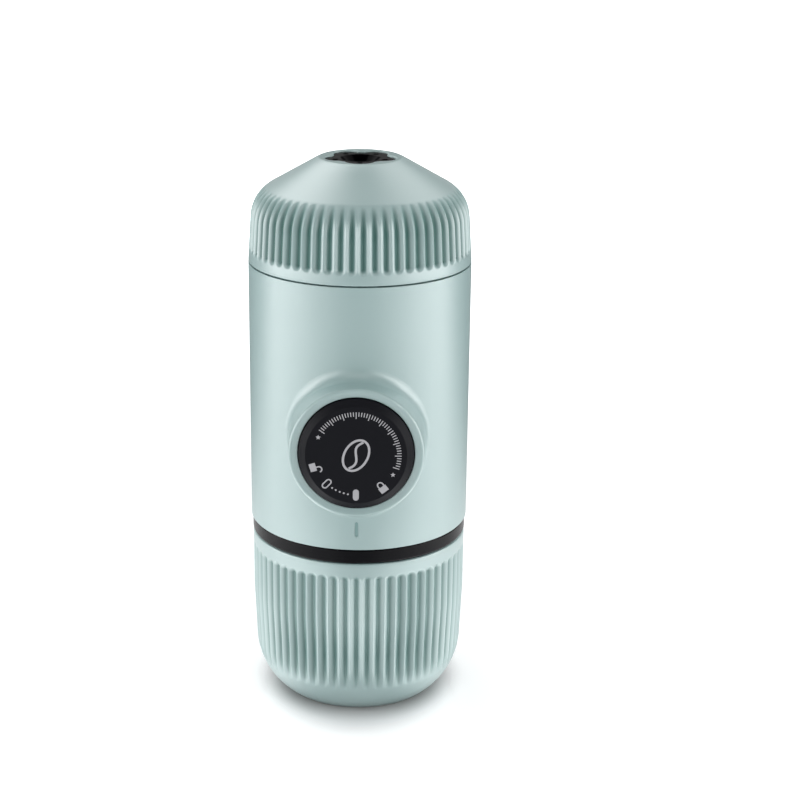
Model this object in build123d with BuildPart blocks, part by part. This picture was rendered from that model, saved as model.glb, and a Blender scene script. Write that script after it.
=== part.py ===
from build123d import *
import os
from math import asin, cos, sin, sqrt

# Handheld manual espresso maker, one solid for each piece that comes off on a bench.
# Millimetres, +Z up. The origin is on the body's axis at the foot of the cup, and the
# pump button faces -Y. Below the body hang the water tank and, over it, the cup.
# On top sit the brew head, the filter basket and the portafilter under its ribbed dome.

os.makedirs("parts", exist_ok=True)

# ---------------------------------------------------------------- driving dimensions
height = 156.0  # foot to the lip of the dome
body_r = 31.0
skin = 2.2  # wall of the coloured mouldings
fit = 0.05  # a pressed or seated joint inside one body
slip = 0.3  # room between pieces that slide past each other
loose = 0.2  # room round a fixed piece that another one holds
past = 1.0  # how far a cut runs past the face that it opens
overlap = 0.5  # how far two forms of one moulding run into each other

cup_top = 48.25
collar_base = 48.4  # the black band between cup and casing is the tank's collar
collar_top = 52.65
casing_base = 52.8
seam = 127.1  # the line between casing and dome
seam_gap = 0.25

button_z = 83.7  # height of the pump's axis
button_r = 15.4
button_face = 40.0  # from the body's axis to the button's face
stroke = 18.0
unlock_angle = 45.0
lug_count = 3

deck_z = 62.0  # underside of the chassis deck, over the tank's neck
head_z = 115.0  # joint between the chassis and the brew head
puck_z = 122.0  # floor of the brew head, under the coffee

cup_rib_count = 60
dome_rib_count = 62

# ------------------------------------------------------------------ shared geometry
pump_axis = Axis((0, 0, button_z), (0, 1, 0))
# Half sections of what turns about the pump's axis: local x is the row's Y, local y the radius.
pump_section = Plane(origin=(0, 0, button_z), x_dir=(0, 1, 0), z_dir=(1, 0, 0))


def pump_face(y):
    """A plane across the pump's axis at this Y, facing the button's side."""
    return Plane(origin=(0, y, button_z), x_dir=(1, 0, 0), z_dir=(0, -1, 0))


def ring(r_in, r_out, low, high):
    """A plain turned ring between two radii, added to the part being built."""
    with BuildSketch(Plane.XZ) as section:
        with Locations(((r_in + r_out) / 2, (low + high) / 2)):
            Rectangle(r_out - r_in, high - low)
    revolve(section.sketch, axis=Axis.Z)


def pump_ring(r_in, r_out, low, high, mode=Mode.ADD):
    """The same about the pump's axis, from y = low to y = high."""
    with BuildSketch(pump_section) as section:
        with Locations(((low + high) / 2, (r_in + r_out) / 2)):
            Rectangle(high - low, r_out - r_in)
    revolve(section.sketch, axis=pump_axis, mode=mode)


# The cup's foot corner is one large arc. Every bowl that nests in it keeps its centre.
corner_r = 19.3
corner_x = 10.55
corner_z = 15.5
draft_z = 30.0
cup_r = 30.5


def bowl_section(inset, base, top):
    """Half section of a filled bowl that lies this far inside the cup's outer skin."""
    arc_r = corner_r - inset
    foot_r = corner_x + sqrt(arc_r**2 - (corner_z - base) ** 2)
    half_turn = asin((corner_z - base) / arc_r) / 2
    middle = (corner_x + arc_r * cos(half_turn), corner_z - arc_r * sin(half_turn))
    with BuildSketch(Plane.XZ) as section:
        with BuildLine():
            foot = Line((0, base), (foot_r, base))
            corner = ThreePointArc(foot @ 1, middle, (corner_x + arc_r, corner_z))
            Polyline(corner @ 1, (cup_r - inset, draft_z), (cup_r - inset, top), (0, top), (0, base))
        make_face()
    return section.sketch


# ------------------------------------------------------------------------------ cup
# The drinking cup slides over the tank from below. Its wall carries moulded grip ribs.
cup_rib_low = 8.8  # here the grooves run out in the foot's corner
run_out_z = 19.5  # and here they reach their full depth
cup_rib_high = 44.6
cup_rib_depth = 1.1
groove_w = 1.7
groove_end_r = 0.48 * groove_w  # just under half, so that the end keeps a short flat
cup_floor = 2.5
cup_rim_round = 0.5

with BuildPart() as cup_groove:
    with BuildSketch(Plane.XZ):
        with BuildLine():
            run_out_r = corner_x + sqrt(corner_r**2 - (corner_z - cup_rib_low) ** 2)
            Polyline(
                (run_out_r, cup_rib_low),
                (corner_x + corner_r - cup_rib_depth, run_out_z),
                (cup_r - cup_rib_depth, draft_z),
                (cup_r - cup_rib_depth, cup_rib_high),
                (cup_r + past, cup_rib_high),
                (cup_r + past, cup_rib_low),
                close=True,
            )
        make_face()
    extrude(amount=groove_w / 2, both=True)
    top_corners = cup_groove.edges().filter_by(Axis.X).group_by(Axis.Z)[-1]
    fillet(top_corners, radius=groove_end_r)

with BuildPart() as cup:
    revolve(bowl_section(0, 0, cup_top), axis=Axis.Z)
    revolve(bowl_section(skin, cup_floor, cup_top), axis=Axis.Z, mode=Mode.SUBTRACT)
    with PolarLocations(0, cup_rib_count):
        add(cup_groove.part, mode=Mode.SUBTRACT)
    rim = cup.edges().filter_by(GeomType.CIRCLE).group_by(Axis.Z)[-1]
    fillet(rim, radius=cup_rim_round)

cup.part.label = "cup"
export_step(cup.part, "parts/cup.step")

# ----------------------------------------------------------------------- water tank
# A black bowl with a collar that shows as the dark band, and a neck that screws up
# into the chassis. A seal round its wall grips the cup.
tank_inset = 2.9
tank_wall = 2.6
tank_base = 3.2
tank_floor = 2.2
collar_r = 30.6
collar_round = 0.6
neck_r = 26.6
neck_top = 60.0
neck_chamfer = 0.4
tank_bore = cup_r - tank_inset - tank_wall
seal_z = 44.0
seal_depth = 0.7
seal_r = 0.55

with BuildPart() as water_tank:
    revolve(bowl_section(tank_inset, tank_base, collar_base), axis=Axis.Z)
    ring(0, collar_r, collar_base, collar_top)
    band = water_tank.edges().filter_by(GeomType.CIRCLE).sort_by(SortBy.RADIUS)[-2:]
    fillet(band, radius=collar_round)
    ring(0, neck_r, collar_top, neck_top)
    revolve(
        bowl_section(tank_inset + tank_wall, tank_base + tank_floor, neck_top),
        axis=Axis.Z,
        mode=Mode.SUBTRACT,
    )
    with BuildSketch(Plane.XZ):
        with Locations((cup_r - tank_inset, seal_z)):
            Rectangle(2 * seal_depth, 2 * seal_r + loose)
    revolve(axis=Axis.Z, mode=Mode.SUBTRACT)
    mouth = water_tank.edges().filter_by(GeomType.CIRCLE).group_by(Axis.Z)[-1]
    chamfer(mouth, length=neck_chamfer)

water_tank.part.label = "water_tank"
export_step(water_tank.part, "parts/water_tank.step")

with BuildPart() as cup_seal:
    with BuildSketch(Plane.XZ):
        with Locations((cup_r - tank_inset - seal_depth + seal_r + fit, seal_z)):
            Circle(seal_r)
    revolve(axis=Axis.Z)

cup_seal.part.label = "cup_seal"
export_step(cup_seal.part, "parts/cup_seal.step")

# ---------------------------------------------------------------------- body casing
# The coloured tube with the button's boss. The boss blends into the wall in a hollow
# round, its rim slopes in to the button, and a short mark under it shows where that locks.
# Two inner ledges carry the works: the chassis comes up to the lower one, the brew head
# down to the upper one, and three screws between them clamp the casing.
casing_bore = body_r - skin
chassis_r = casing_bore - loose
deck_top = deck_z + 2.6
ledge_h = 2.0
ledge_r = 27.2
head_seat = head_z + 3.0
boss_front = 38.8
boss_r = 18.1
boss_root_r = 19.0
boss_bore = button_r + slip
boss_blend = 3.6
boss_wall = 0.6  # the thin collar behind the boss, inside the casing
lip_round = 0.7  # the boss's rim is rounded outwards and slopes in to the button
lip_slope_r = 17.25
lip_slope = 0.45
collar_back = 18.2
mark_low = 56.6
mark_high = 61.1
mark_w = 1.2
mark_depth = 0.2

with BuildPart() as body_casing:
    with BuildSketch(Plane.XY.offset(casing_base)):
        Circle(body_r)
    extrude(amount=seam - casing_base)
    with BuildSketch(pump_section):
        with BuildLine():
            Polyline(
                (-boss_front, 0),
                (-boss_front, boss_r),
                (-collar_back, boss_root_r),
                (-collar_back, 0),
                close=True,
            )
        make_face()
    revolve(axis=pump_axis)
    curved = body_casing.edges().filter_by(GeomType.CIRCLE, reverse=True)
    fillet(curved.filter_by(GeomType.LINE, reverse=True), radius=boss_blend)
    with BuildSketch(Plane.XZ):
        with BuildLine():
            Polyline(
                (0, casing_base),
                (casing_bore, casing_base),
                (casing_bore, deck_top),
                (ledge_r, deck_top),
                (ledge_r, deck_top + ledge_h),
                (casing_bore, deck_top + ledge_h),
                (casing_bore, head_seat - ledge_h),
                (ledge_r, head_seat - ledge_h),
                (ledge_r, head_seat),
                (casing_bore, head_seat),
                (casing_bore, seam),
                (0, seam),
                close=True,
            )
        make_face()
    revolve(axis=Axis.Z, mode=Mode.SUBTRACT)
    pump_ring(0, boss_root_r - boss_wall, -body_r, -collar_back)
    pump_ring(0, boss_bore, -boss_front - past, -collar_back + past, mode=Mode.SUBTRACT)
    lip = body_casing.edges().filter_by(GeomType.CIRCLE).group_by(Axis.Y)[0]
    fillet(lip.sort_by(SortBy.RADIUS)[-1], radius=lip_round)
    with BuildSketch(pump_section):
        with BuildLine():
            Polyline(
                (-boss_front, 0),
                (-boss_front, lip_slope_r),
                (-boss_front + lip_slope, boss_bore),
                (-boss_front + lip_slope, 0),
                close=True,
            )
        make_face()
    revolve(axis=pump_axis, mode=Mode.SUBTRACT)
    with BuildSketch(Plane.XZ.offset(body_r - mark_depth)):
        with Locations((0, (mark_low + mark_high) / 2)):
            SlotOverall(mark_high - mark_low, mark_w, rotation=90)
    extrude(amount=mark_depth + past, mode=Mode.SUBTRACT)

body_casing.part.label = "body_casing"
export_step(body_casing.part, "parts/body_casing.step")

# --------------------------------------------------------------------- pump chassis
# The black frame that everything else is fixed to. A skirt takes the tank's neck, the
# deck closes the casing, four pillars carry the top plate, and the guide tube on its
# saddle, the pump cylinder and the two valve towers stand on the deck as one moulding.
chassis_base = casing_base + 0.6
socket_r = neck_r + 0.4
top_plate_z = head_z - 4.0
top_plate_r = 27.0
guide_bore = 15.8
lug_r = 17.0
guide_r = 19.0
guide_front = -collar_back + loose
guide_back = 4.0
back_wall = 2.5
saddle_w = 16.0
saddle_grip = 2.6  # how far the saddle comes up round the guide tube
cylinder_r = 9.5
liner_r = 7.2
cylinder_bore = 6.0
liner_front = -7.0
liner_back = 22.5
cylinder_end = 25.0
cylinder_cap = 26.5
liner_stop = 0.8  # the step that the liner's end bears on
first_lug = 90.0  # seen from the front, the first lug is on top
lug_half_angle = 8.0
slot_margin = 1.5
valve_y = 19.0
tower_r = 6.2
valve_bore = 3.4
port_r = 1.2
port_y = 23.6
inlet_top = 72.0
outlet_base = 93.0
pillar_x = 22.2
pillar_y = 9.0
pillar_r = 2.6
screw_count = 3
screw_ring_r = 15.0
screw_start = 30.0
screw_pilot_r = 1.25
screw_tip_z = 105.0
screw_boss_r = 3.2
air_x = -12.0
air_y = 12.0
air_hole_r = 1.5


def lug_sectors(r_in, r_out, before, after):
    """A piece of a ring for each lug, this far before and after its middle in degrees."""
    for lug in range(lug_count):
        start = first_lug + lug * 360 / lug_count - before
        with BuildLine() as outline:
            outer_arc = CenterArc((0, 0), r_out, start, before + after)
            inner_arc = CenterArc((0, 0), r_in, start, before + after)
            Line(outer_arc @ 0, inner_arc @ 0)
            Line(outer_arc @ 1, inner_arc @ 1)
        make_face(outline.edges())


with BuildPart() as pump_chassis:
    with BuildSketch(Plane.XY.offset(chassis_base)):
        Circle(chassis_r)
    extrude(amount=deck_top - chassis_base)
    with BuildSketch(Plane.XY.offset(top_plate_z)):
        Circle(top_plate_r)
    extrude(amount=head_z - top_plate_z)
    with BuildSketch(Plane.XY.offset(deck_top)):
        with GridLocations(2 * pillar_x, 2 * pillar_y, 2, 2):
            Circle(pillar_r)
        with Locations((0, valve_y)):
            Circle(tower_r)
    extrude(amount=top_plate_z - deck_top)
    with BuildSketch(Plane.XY.offset(screw_tip_z - past)):
        with PolarLocations(screw_ring_r, screw_count, start_angle=screw_start):
            Circle(screw_boss_r)
    extrude(amount=top_plate_z - screw_tip_z + past)
    guide_end = guide_back + back_wall
    pump_ring(0, guide_r, guide_front, guide_end)
    pump_ring(0, cylinder_r, guide_back, cylinder_cap)
    with BuildSketch(Plane.XY.offset(deck_top)):
        with Locations((0, (guide_front + guide_end) / 2)):
            Rectangle(saddle_w, guide_end - guide_front)
    extrude(amount=button_z - guide_r + saddle_grip - deck_top)
    # the tank's socket
    with BuildSketch(Plane.XY.offset(casing_base)):
        Circle(socket_r)
    extrude(amount=deck_z - casing_base, mode=Mode.SUBTRACT)
    # the sleeve's bore, with a slot for each lug as wide as its twist
    pump_ring(0, guide_bore, guide_front - past, guide_back, mode=Mode.SUBTRACT)
    with BuildSketch(pump_face(guide_back)):
        slot_half_angle = lug_half_angle + slot_margin
        lug_sectors(guide_bore - overlap, lug_r + slip, slot_half_angle, unlock_angle + slot_half_angle)
    extrude(amount=guide_back - guide_front + past, mode=Mode.SUBTRACT)
    # the pump's cylinder: the liner's seat, then the space the water is drawn into
    pump_ring(0, liner_r + fit, guide_back - past, liner_back, mode=Mode.SUBTRACT)
    pump_ring(0, cylinder_bore - liner_stop, liner_back - past, cylinder_end, mode=Mode.SUBTRACT)
    # inlet and outlet valve chambers, joined to the cylinder's end by narrow ports
    with BuildSketch(Plane.XY.offset(deck_z - past)):
        with Locations((0, valve_y)):
            Circle(valve_bore)
    extrude(amount=inlet_top - deck_z + past, mode=Mode.SUBTRACT)
    with BuildSketch(Plane.XY.offset(outlet_base)):
        with Locations((0, valve_y)):
            Circle(valve_bore)
    extrude(amount=head_z - outlet_base + past, mode=Mode.SUBTRACT)
    with BuildSketch(Plane.XY.offset(inlet_top - past)):
        with Locations((0, port_y)):
            Circle(port_r)
    extrude(amount=outlet_base - inlet_top + 2 * past, mode=Mode.SUBTRACT)
    # room for the casing's collar, the screws' pilot holes and the air valve's stem
    pump_ring(0, boss_root_r + slip, -body_r, guide_front, mode=Mode.SUBTRACT)
    with BuildSketch(Plane.XY.offset(screw_tip_z)):
        with PolarLocations(screw_ring_r, screw_count, start_angle=screw_start):
            Circle(screw_pilot_r)
    extrude(amount=head_z - screw_tip_z + past, mode=Mode.SUBTRACT)
    with BuildSketch(Plane.XY.offset(deck_z - past)):
        with Locations((air_x, air_y)):
            Circle(air_hole_r)
    extrude(amount=deck_top - deck_z + 2 * past, mode=Mode.SUBTRACT)

pump_chassis.part.label = "pump_chassis"
export_step(pump_chassis.part, "parts/pump_chassis.step")

# ---------------------------------------------------------- what hangs under the deck
# A flat rubber ring seals the tank's neck, an umbrella valve lets air into the tank,
# and a perforated cap keeps grit out of the inlet.
with BuildPart() as tank_gasket:
    ring(tank_bore - neck_chamfer, neck_r, neck_top + fit, deck_z)

tank_gasket.part.label = "tank_gasket"
export_step(tank_gasket.part, "parts/tank_gasket.step")

umbrella_r = 4.0
umbrella_h = 1.6
umbrella_bevel = 1.0
umbrella_edge = 0.4
stem_knob_r = 2.2
stem_knob_h = 1.8
air_axis = Axis((air_x, air_y, 0), (0, 0, 1))

with BuildPart() as air_valve:
    with BuildSketch(Plane(origin=(air_x, air_y, 0), x_dir=(1, 0, 0), z_dir=(0, -1, 0))):
        with BuildLine():
            Polyline(
                (0, deck_z - umbrella_h),
                (umbrella_r - umbrella_bevel, deck_z - umbrella_h + umbrella_edge),
                (umbrella_r, deck_z),
                (air_hole_r - fit, deck_z),
                (air_hole_r - fit, deck_top),
                (stem_knob_r, deck_top),
                (air_hole_r, deck_top + stem_knob_h),
                (0, deck_top + stem_knob_h),
                close=True,
            )
        make_face()
    revolve(axis=air_axis)

air_valve.part.label = "air_valve"
export_step(air_valve.part, "parts/air_valve.step")

strainer_base = 57.0
strainer_r = 4.4
strainer_wall = 0.7
strainer_round = 0.6
strainer_hole_r = 0.55
strainer_hole_ring = 2.3
strainer_hole_count = 7

with BuildPart() as intake_strainer:
    with BuildSketch(Plane.XY.offset(strainer_base)):
        with Locations((0, valve_y)):
            Circle(strainer_r)
    extrude(amount=deck_z - strainer_base)
    fillet(intake_strainer.edges().group_by(Axis.Z)[0], radius=strainer_round)
    offset(amount=-strainer_wall, openings=intake_strainer.faces().sort_by(Axis.Z)[-1])
    with BuildSketch(Plane.XY.offset(strainer_base - past)):
        with Locations((0, valve_y)):
            Circle(strainer_hole_r)
            with PolarLocations(strainer_hole_ring, strainer_hole_count):
                Circle(strainer_hole_r)
    extrude(amount=strainer_wall + 2 * past, mode=Mode.SUBTRACT)

intake_strainer.part.label = "intake_strainer"
export_step(intake_strainer.part, "parts/intake_strainer.step")

# ----------------------------------------------------------------------- check valves
# Two mushroom valves that lift a little off their seats. The inlet one opens as the
# piston comes out, the sprung outlet one as it is pressed in.
seat_h = 2.4
seat_hole_r = 1.7
valve_head_r = 2.6
valve_head_h = 1.2
valve_stem_r = 0.9
inlet_stem = 3.2
outlet_stem = 2.0
inlet_seat_top = deck_z + 4.0
outlet_seat_top = outlet_base + seat_h
spring_seat_z = outlet_seat_top + valve_head_h
plug_z = 104.0
plug_bore = 1.4
outlet_coil_r = 1.9
outlet_wire_r = 0.25
outlet_turns = 5


def valve_tube(r_in, r_out, low, high):
    """A tube on the valves' axis, added to the part being built."""
    with BuildSketch(Plane.XY.offset(low)) as section:
        with Locations((0, valve_y)):
            Circle(r_out)
            Circle(r_in, mode=Mode.SUBTRACT)
    extrude(section.sketch, amount=high - low)


def mushroom(seat_top, stem):
    """A valve poppet whose head lies on a seat and whose stem hangs in its hole."""
    with BuildSketch(Plane.XY.offset(seat_top)) as head:
        with Locations((0, valve_y)):
            Circle(valve_head_r)
    extrude(head.sketch, amount=valve_head_h)
    with BuildSketch(Plane.XY.offset(seat_top - stem)) as shank:
        with Locations((0, valve_y)):
            Circle(valve_stem_r)
    extrude(shank.sketch, amount=stem)


with BuildPart() as inlet_seat:
    valve_tube(seat_hole_r, valve_bore - fit, deck_z, inlet_seat_top)

inlet_seat.part.label = "inlet_seat"
export_step(inlet_seat.part, "parts/inlet_seat.step")

with BuildPart() as inlet_valve:
    mushroom(inlet_seat_top, inlet_stem)

inlet_valve.part.label = "inlet_valve"
export_step(inlet_valve.part, "parts/inlet_valve.step")

with BuildPart() as outlet_seat:
    valve_tube(seat_hole_r, valve_bore - fit, outlet_base, outlet_seat_top)

outlet_seat.part.label = "outlet_seat"
export_step(outlet_seat.part, "parts/outlet_seat.step")

with BuildPart() as outlet_valve:
    mushroom(outlet_seat_top, outlet_stem)

outlet_valve.part.label = "outlet_valve"
export_step(outlet_valve.part, "parts/outlet_valve.step")

with BuildPart() as outlet_plug:
    valve_tube(plug_bore, valve_bore - fit, plug_z, head_z)

outlet_plug.part.label = "outlet_plug"
export_step(outlet_plug.part, "parts/outlet_plug.step")


def coil_spring(coil_r, wire_r, low, high, turns):
    """A round wire wound about local Z between two heights, as a finished part."""
    rise = high - low - 2 * wire_r
    with BuildPart() as spring:
        with BuildLine():
            coil = Helix(pitch=rise / turns, height=rise, radius=coil_r, center=(0, 0, low + wire_r))
        with BuildSketch(Plane(origin=coil @ 0, z_dir=coil % 0)):
            Circle(wire_r)
        sweep(path=coil, is_frenet=True)
    return spring.part


outlet_coil = coil_spring(outlet_coil_r, outlet_wire_r, spring_seat_z, plug_z, outlet_turns)
with BuildPart(Location((0, valve_y, 0))) as outlet_spring:
    add(outlet_coil)

outlet_spring.part.label = "outlet_spring"
export_step(outlet_spring.part, "parts/outlet_spring.step")

# --------------------------------------------------------------- pump liner and piston
# A hard liner in the chassis with a bush in its mouth. The rod slides in the bush and
# carries the plunger with its two seals, held by a nut let into the plunger's face.
rod_r = 4.0
bush_back = -3.0
flange_h = 1.0
rod_front = -35.9
rod_neck_r = 2.5
stroke_reserve = 1.0  # left between plunger and bush when the button is right out
plunger_front = bush_back + stroke_reserve + stroke
plunger_back = 22.0
plunger_r = cylinder_bore - fit
nut_front = 20.2
nut_af = 6.0
rod_chamfer = 0.5
o_ring_r = 0.53
groove_half = 0.6
groove_bottom = plunger_r - 2 * o_ring_r
ring_stations = (17.3, 19.2)
clip_front = -30.0
clip_back = -28.6
clip_r = 5.2
clip_seat_r = rod_r - 0.7  # the groove that the snap ring sits in
clip_gap = 2.4

with BuildPart() as pump_liner:
    pump_ring(cylinder_bore, liner_r, liner_front, liner_back)

pump_liner.part.label = "pump_liner"
export_step(pump_liner.part, "parts/pump_liner.step")

with BuildPart() as rod_bush:
    pump_ring(rod_r + fit, cylinder_bore, liner_front, bush_back)
    pump_ring(rod_r + fit, liner_r, liner_front - flange_h, liner_front)

rod_bush.part.label = "rod_bush"
export_step(rod_bush.part, "parts/rod_bush.step")

with BuildPart() as piston_rod:
    pump_ring(0, rod_r, rod_front, plunger_front)
    pump_ring(0, rod_neck_r, plunger_front, plunger_back)
    pump_ring(clip_seat_r, rod_r + past, clip_front, clip_back, mode=Mode.SUBTRACT)
    chamfer(piston_rod.edges().filter_by(GeomType.CIRCLE).group_by(Axis.Y)[0], length=rod_chamfer)

piston_rod.part.label = "piston_rod"
export_step(piston_rod.part, "parts/piston_rod.step")

with BuildPart() as plunger:
    pump_ring(rod_neck_r + fit, plunger_r, plunger_front, plunger_back)
    for station in ring_stations:
        front = station - groove_half
        back = station + groove_half
        pump_ring(groove_bottom, plunger_r + past, front, back, mode=Mode.SUBTRACT)
    with BuildSketch(pump_face(plunger_back)):
        RegularPolygon(nut_af / 2 + fit, 6, major_radius=False)
    extrude(amount=plunger_back - nut_front, mode=Mode.SUBTRACT)

plunger.part.label = "plunger"
export_step(plunger.part, "parts/plunger.step")

with BuildPart() as plunger_seals:
    with BuildSketch(pump_section):
        for station in ring_stations:
            with Locations((station, groove_bottom + o_ring_r)):
                Circle(o_ring_r)
    revolve(axis=pump_axis)

plunger_seals.part.label = "plunger_seals"
export_step(plunger_seals.part, "parts/plunger_seals.step")

with BuildPart() as plunger_nut:
    with BuildSketch(pump_face(plunger_back)):
        RegularPolygon(nut_af / 2, 6, major_radius=False)
        Circle(rod_neck_r, mode=Mode.SUBTRACT)
    extrude(amount=plunger_back - nut_front)

plunger_nut.part.label = "plunger_nut"
export_step(plunger_nut.part, "parts/plunger_nut.step")

# The spring bears on the chassis behind the liner and pushes the button out.
spring_coil_r = 10.6
spring_wire_r = 0.65
spring_turns = 5
cap_thickness = 3.2
button_floor = button_face - cap_thickness

pump_coil = coil_spring(spring_coil_r, spring_wire_r, -guide_back, button_floor, spring_turns)
with BuildPart(pump_face(0)) as return_spring:
    add(pump_coil)

return_spring.part.label = "return_spring"
export_step(return_spring.part, "parts/return_spring.step")

# ------------------------------------------------------------------------ pump button
# A black cap with a bevelled face on a long sleeve. Its hub turns on the rod's nose and is
# held there by a snap ring, and the lugs on the sleeve's end run in the chassis slots.
bevel_w = 1.85
bevel_h = 1.15
sleeve_r = button_r
sleeve_bore = 13.7
sleeve_end = 3.2
lug_len = 3.0
hub_r = 7.0
hub_end = -26.0
rim_end = -35.6

with BuildPart() as button_cap:
    with BuildSketch(pump_section):
        with BuildLine():
            Polyline(
                (-button_face, 0),
                (-button_face, button_r - bevel_w),
                (-button_face + bevel_h, button_r),
                (rim_end, button_r),
                (rim_end, 0),
                close=True,
            )
        make_face()
    revolve(axis=pump_axis)
    pump_ring(sleeve_bore, sleeve_r, rim_end - overlap, sleeve_end)
    pump_ring(0, sleeve_bore, -button_floor, rim_end + overlap, mode=Mode.SUBTRACT)
    pump_ring(rod_r + fit, hub_r, -button_floor - overlap, hub_end)
    pump_ring(0, clip_r + 2 * fit, clip_front, clip_back, mode=Mode.SUBTRACT)
    with BuildSketch(pump_face(sleeve_end)):
        lug_sectors(sleeve_r - overlap, lug_r, lug_half_angle, lug_half_angle)
    extrude(amount=lug_len)

button_cap.part.label = "button_cap"
export_step(button_cap.part, "parts/button_cap.step")

with BuildPart() as snap_ring:
    with BuildSketch(pump_face(clip_back - fit)):
        Circle(clip_r)
        Circle(clip_seat_r + fit, mode=Mode.SUBTRACT)
        with Locations((0, -clip_r)):
            Rectangle(clip_gap, clip_r, mode=Mode.SUBTRACT)
    extrude(amount=clip_back - clip_front - 2 * fit)

snap_ring.part.label = "snap_ring"
export_step(snap_ring.part, "parts/snap_ring.step")

# ------------------------------------------------------------------------- brew head
# Screwed down on the chassis. Its neck takes the portafilter, water rises through a
# channel milled in its underside, and a screw holds the shower screen over the recess.
neck_out = 25.5
head_bore = 22.3
head_top = 134.0
head_chamfer = 0.6
head_flange_top = seam - slip
recess_z = puck_z - 1.2
recess_r = 18.6
screw_head_z = recess_z - 2.4
screw_hole_r = 1.7
screw_head_r = 2.9
screw_head_h = 1.8
screw_tip_gap = 0.5
hex_r = 1.5
hex_depth = 1.0
channel_w = 2.8
channel_h = 1.5
feed_y = 10.0
feed_r = 1.4
screen_screw_r = 1.6
screen_screw_end = head_z + 1.2  # bottom of the screw's hole

with BuildPart() as brew_head:
    ring(0, ledge_r - loose, head_z, head_seat)
    ring(0, chassis_r, head_seat, head_flange_top)
    ring(0, neck_out, head_flange_top, head_top)
    chamfer(brew_head.edges().filter_by(GeomType.CIRCLE).group_by(Axis.Z)[-1], length=head_chamfer)
    with BuildSketch(Plane.XY.offset(puck_z)):
        Circle(head_bore)
    extrude(amount=head_top - puck_z, mode=Mode.SUBTRACT)
    with BuildSketch(Plane.XY.offset(recess_z)):
        Circle(recess_r)
    extrude(amount=puck_z - recess_z + past, mode=Mode.SUBTRACT)
    with BuildSketch(Plane.XY.offset(screw_head_z)):
        with PolarLocations(screw_ring_r, screw_count, start_angle=screw_start):
            Circle(screw_head_r + loose)
    extrude(amount=puck_z - screw_head_z, mode=Mode.SUBTRACT)
    with BuildSketch(Plane.XY.offset(head_z - past)):
        with PolarLocations(screw_ring_r, screw_count, start_angle=screw_start):
            Circle(screw_hole_r)
        with Locations((0, feed_y)):
            Circle(feed_r)
    extrude(amount=puck_z - head_z, mode=Mode.SUBTRACT)
    with BuildSketch(Plane.XY.offset(head_z)):
        with Locations((0, (feed_y + valve_y) / 2)):
            SlotOverall(valve_y - feed_y + channel_w, channel_w, rotation=90)
    extrude(amount=channel_h, mode=Mode.SUBTRACT)
    with BuildSketch(Plane.XY.offset(screen_screw_end)):
        Circle(screen_screw_r + fit)
    extrude(amount=puck_z - screen_screw_end, mode=Mode.SUBTRACT)

brew_head.part.label = "brew_head"
export_step(brew_head.part, "parts/brew_head.step")

with BuildPart() as head_screws:
    with BuildSketch(Plane.XY.offset(screw_head_z)):
        with PolarLocations(screw_ring_r, screw_count, start_angle=screw_start):
            Circle(screw_head_r)
    extrude(amount=screw_head_h)
    with BuildSketch(Plane.XY.offset(screw_tip_z + screw_tip_gap)):
        with PolarLocations(screw_ring_r, screw_count, start_angle=screw_start):
            Circle(screw_pilot_r - fit)
    extrude(amount=screw_head_z - screw_tip_z - screw_tip_gap)
    with BuildSketch(Plane.XY.offset(screw_head_z + screw_head_h - hex_depth)):
        with PolarLocations(screw_ring_r, screw_count, start_angle=screw_start):
            RegularPolygon(hex_r, 6)
    extrude(amount=hex_depth + past, mode=Mode.SUBTRACT)

head_screws.part.label = "head_screws"
export_step(head_screws.part, "parts/head_screws.step")

screen_r = 19.3
screen_h = 0.9
screen_hole_r = 0.75
screen_ring_r = 7.5  # the innermost ring of holes
screen_ring_gap = 4.5
screen_ring_holes = 8
screen_more_holes = 4  # that each ring has over the one inside it
screen_rings = 3

with BuildPart() as shower_screen:
    with BuildSketch(Plane.XY.offset(puck_z)):
        Circle(screen_r)
        Circle(screen_screw_r + loose, mode=Mode.SUBTRACT)
        for row in range(screen_rings):
            holes = screen_ring_holes + row * screen_more_holes
            with PolarLocations(screen_ring_r + row * screen_ring_gap, holes):
                Circle(screen_hole_r, mode=Mode.SUBTRACT)
    extrude(amount=screen_h)

shower_screen.part.label = "shower_screen"
export_step(shower_screen.part, "parts/shower_screen.step")

screen_top = puck_z + screen_h
screen_screw_head_r = 3.4
screen_screw_head_h = 0.9
screen_screw_round = 0.4
cross_len = 5.0
cross_w = 0.8
cross_depth = 0.4

with BuildPart() as shower_screw:
    ring(0, screen_screw_r, screen_screw_end + slip, screen_top)
    ring(0, screen_screw_head_r, screen_top, screen_top + screen_screw_head_h)
    head_edge = shower_screw.edges().filter_by(GeomType.CIRCLE).group_by(Axis.Z)[-1]
    fillet(head_edge, radius=screen_screw_round)
    with BuildSketch(Plane.XY.offset(screen_top + screen_screw_head_h - cross_depth)):
        Rectangle(cross_len, cross_w)
        Rectangle(cross_w, cross_len)
    extrude(amount=cross_depth + past, mode=Mode.SUBTRACT)

shower_screw.part.label = "shower_screw"
export_step(shower_screw.part, "parts/shower_screw.step")

head_gasket_h = 0.7

with BuildPart() as head_gasket:
    ring(screen_r + loose, head_bore - loose / 2, puck_z, puck_z + head_gasket_h)

head_gasket.part.label = "head_gasket"
export_step(head_gasket.part, "parts/head_gasket.step")

# -------------------------------------------------------------------- basket and scoop
# A pressed steel cup, open side down on the gasket, with the coffee's outlet holes in
# its upper end. The plastic scoop, which also tamps, is stored inside it.
basket_out = 20.8
basket_wall = 0.8
basket_rim = puck_z + head_gasket_h + fit
basket_top = 140.5
basket_round = 1.6
basket_hole_r = 0.6
basket_ring_r = 5.0  # the innermost ring of holes
basket_ring_gap = 4.5
basket_ring_holes = 6
basket_rings = 3

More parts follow.
